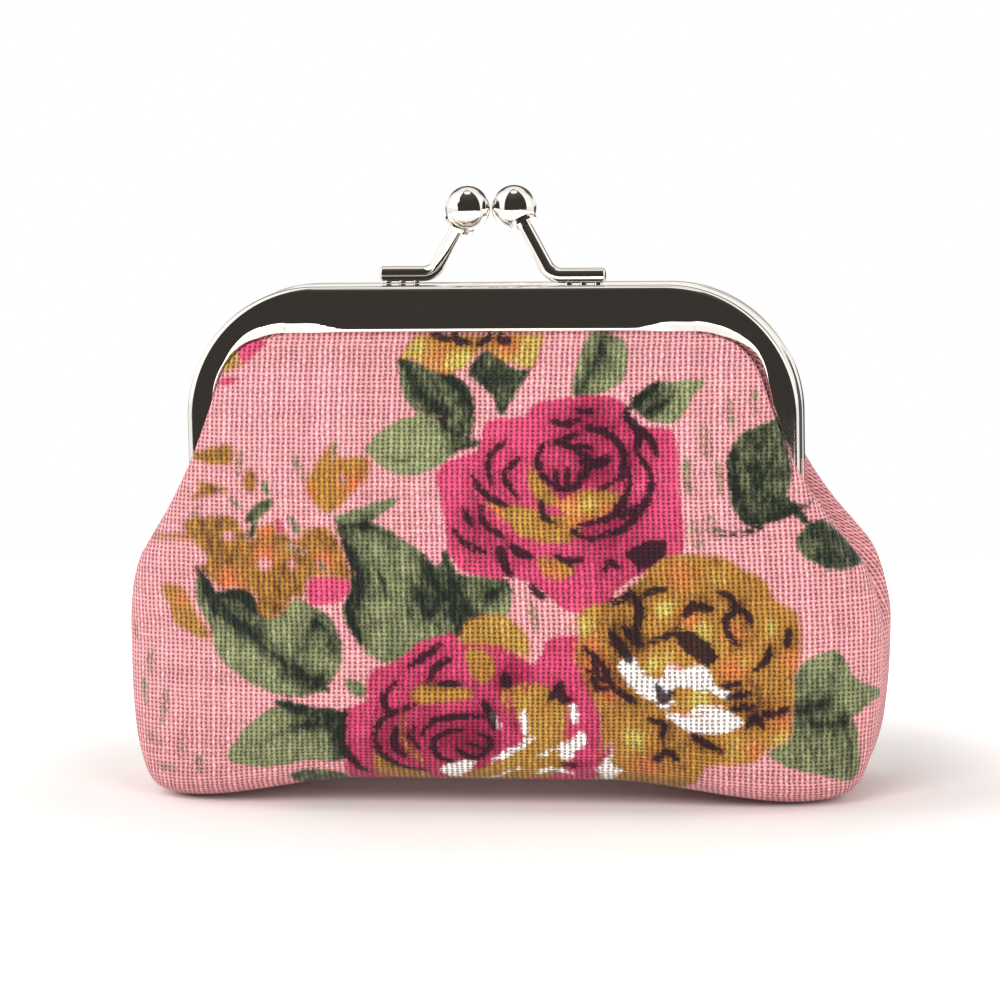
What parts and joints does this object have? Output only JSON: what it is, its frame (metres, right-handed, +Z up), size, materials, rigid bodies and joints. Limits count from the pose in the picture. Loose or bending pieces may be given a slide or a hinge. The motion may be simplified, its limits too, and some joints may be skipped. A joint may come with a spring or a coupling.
{
  "type": "coin purse",
  "caption": "Small soft cloth purse with a boxed bottom, gathered into a hinged arch frame that snaps shut with a kiss-lock clasp of crossing balls.",
  "frame": {"origin": "on the floor, under the centre of the purse's bounding box", "axes": "+X along the purse's width to the right seen from the front, +Y from front to back, +Z up"},
  "size_m": [0.1, 0.0374, 0.0793],
  "materials": {
    "plated_metal": "polished nickel plate",
    "outer_cloth": "coarse plain-woven linen, printed",
    "interlining": "matt felt",
    "lining": "plain cotton",
    "paper_cord": "twisted paper",
    "thread": "sewing thread"
  },
  "bodies": {
    "pouch": {"front_panel_lower": "outer_cloth", "back_panel_lower": "outer_cloth", "front_interlining_lower": "interlining", "back_interlining_lower": "interlining", "front_lining_lower": "lining", "back_lining_lower": "lining", "left_side_stitches": "thread", "right_side_stitches": "thread", "bottom_stitches": "thread"},
    "front_half": {"front_frame": "plated_metal", "front_clasp_arm": "plated_metal", "front_clasp_ball": "plated_metal", "front_paper_cord": "paper_cord", "front_panel_upper": "outer_cloth", "front_interlining_upper": "interlining", "front_lining_upper": "lining"},
    "back_half": {"back_frame": "plated_metal", "back_clasp_arm": "plated_metal", "back_clasp_ball": "plated_metal", "back_paper_cord": "paper_cord", "left_hinge_rivet": "plated_metal", "right_hinge_rivet": "plated_metal", "back_panel_upper": "outer_cloth", "back_interlining_upper": "interlining", "back_lining_upper": "lining"}
  },
  "joints": [
    {"name": "front_frame_swing", "type": "hinge", "parent": "pouch", "child": "front_half", "pos_m": [0, 0, 0.031], "axis": [1, 0, 0], "range_deg": [0, 45]},
    {"name": "back_frame_swing", "type": "hinge", "parent": "pouch", "child": "back_half", "pos_m": [0, 0, 0.031], "axis": [-1, 0, 0], "range_deg": [0, 45]}
  ]
}
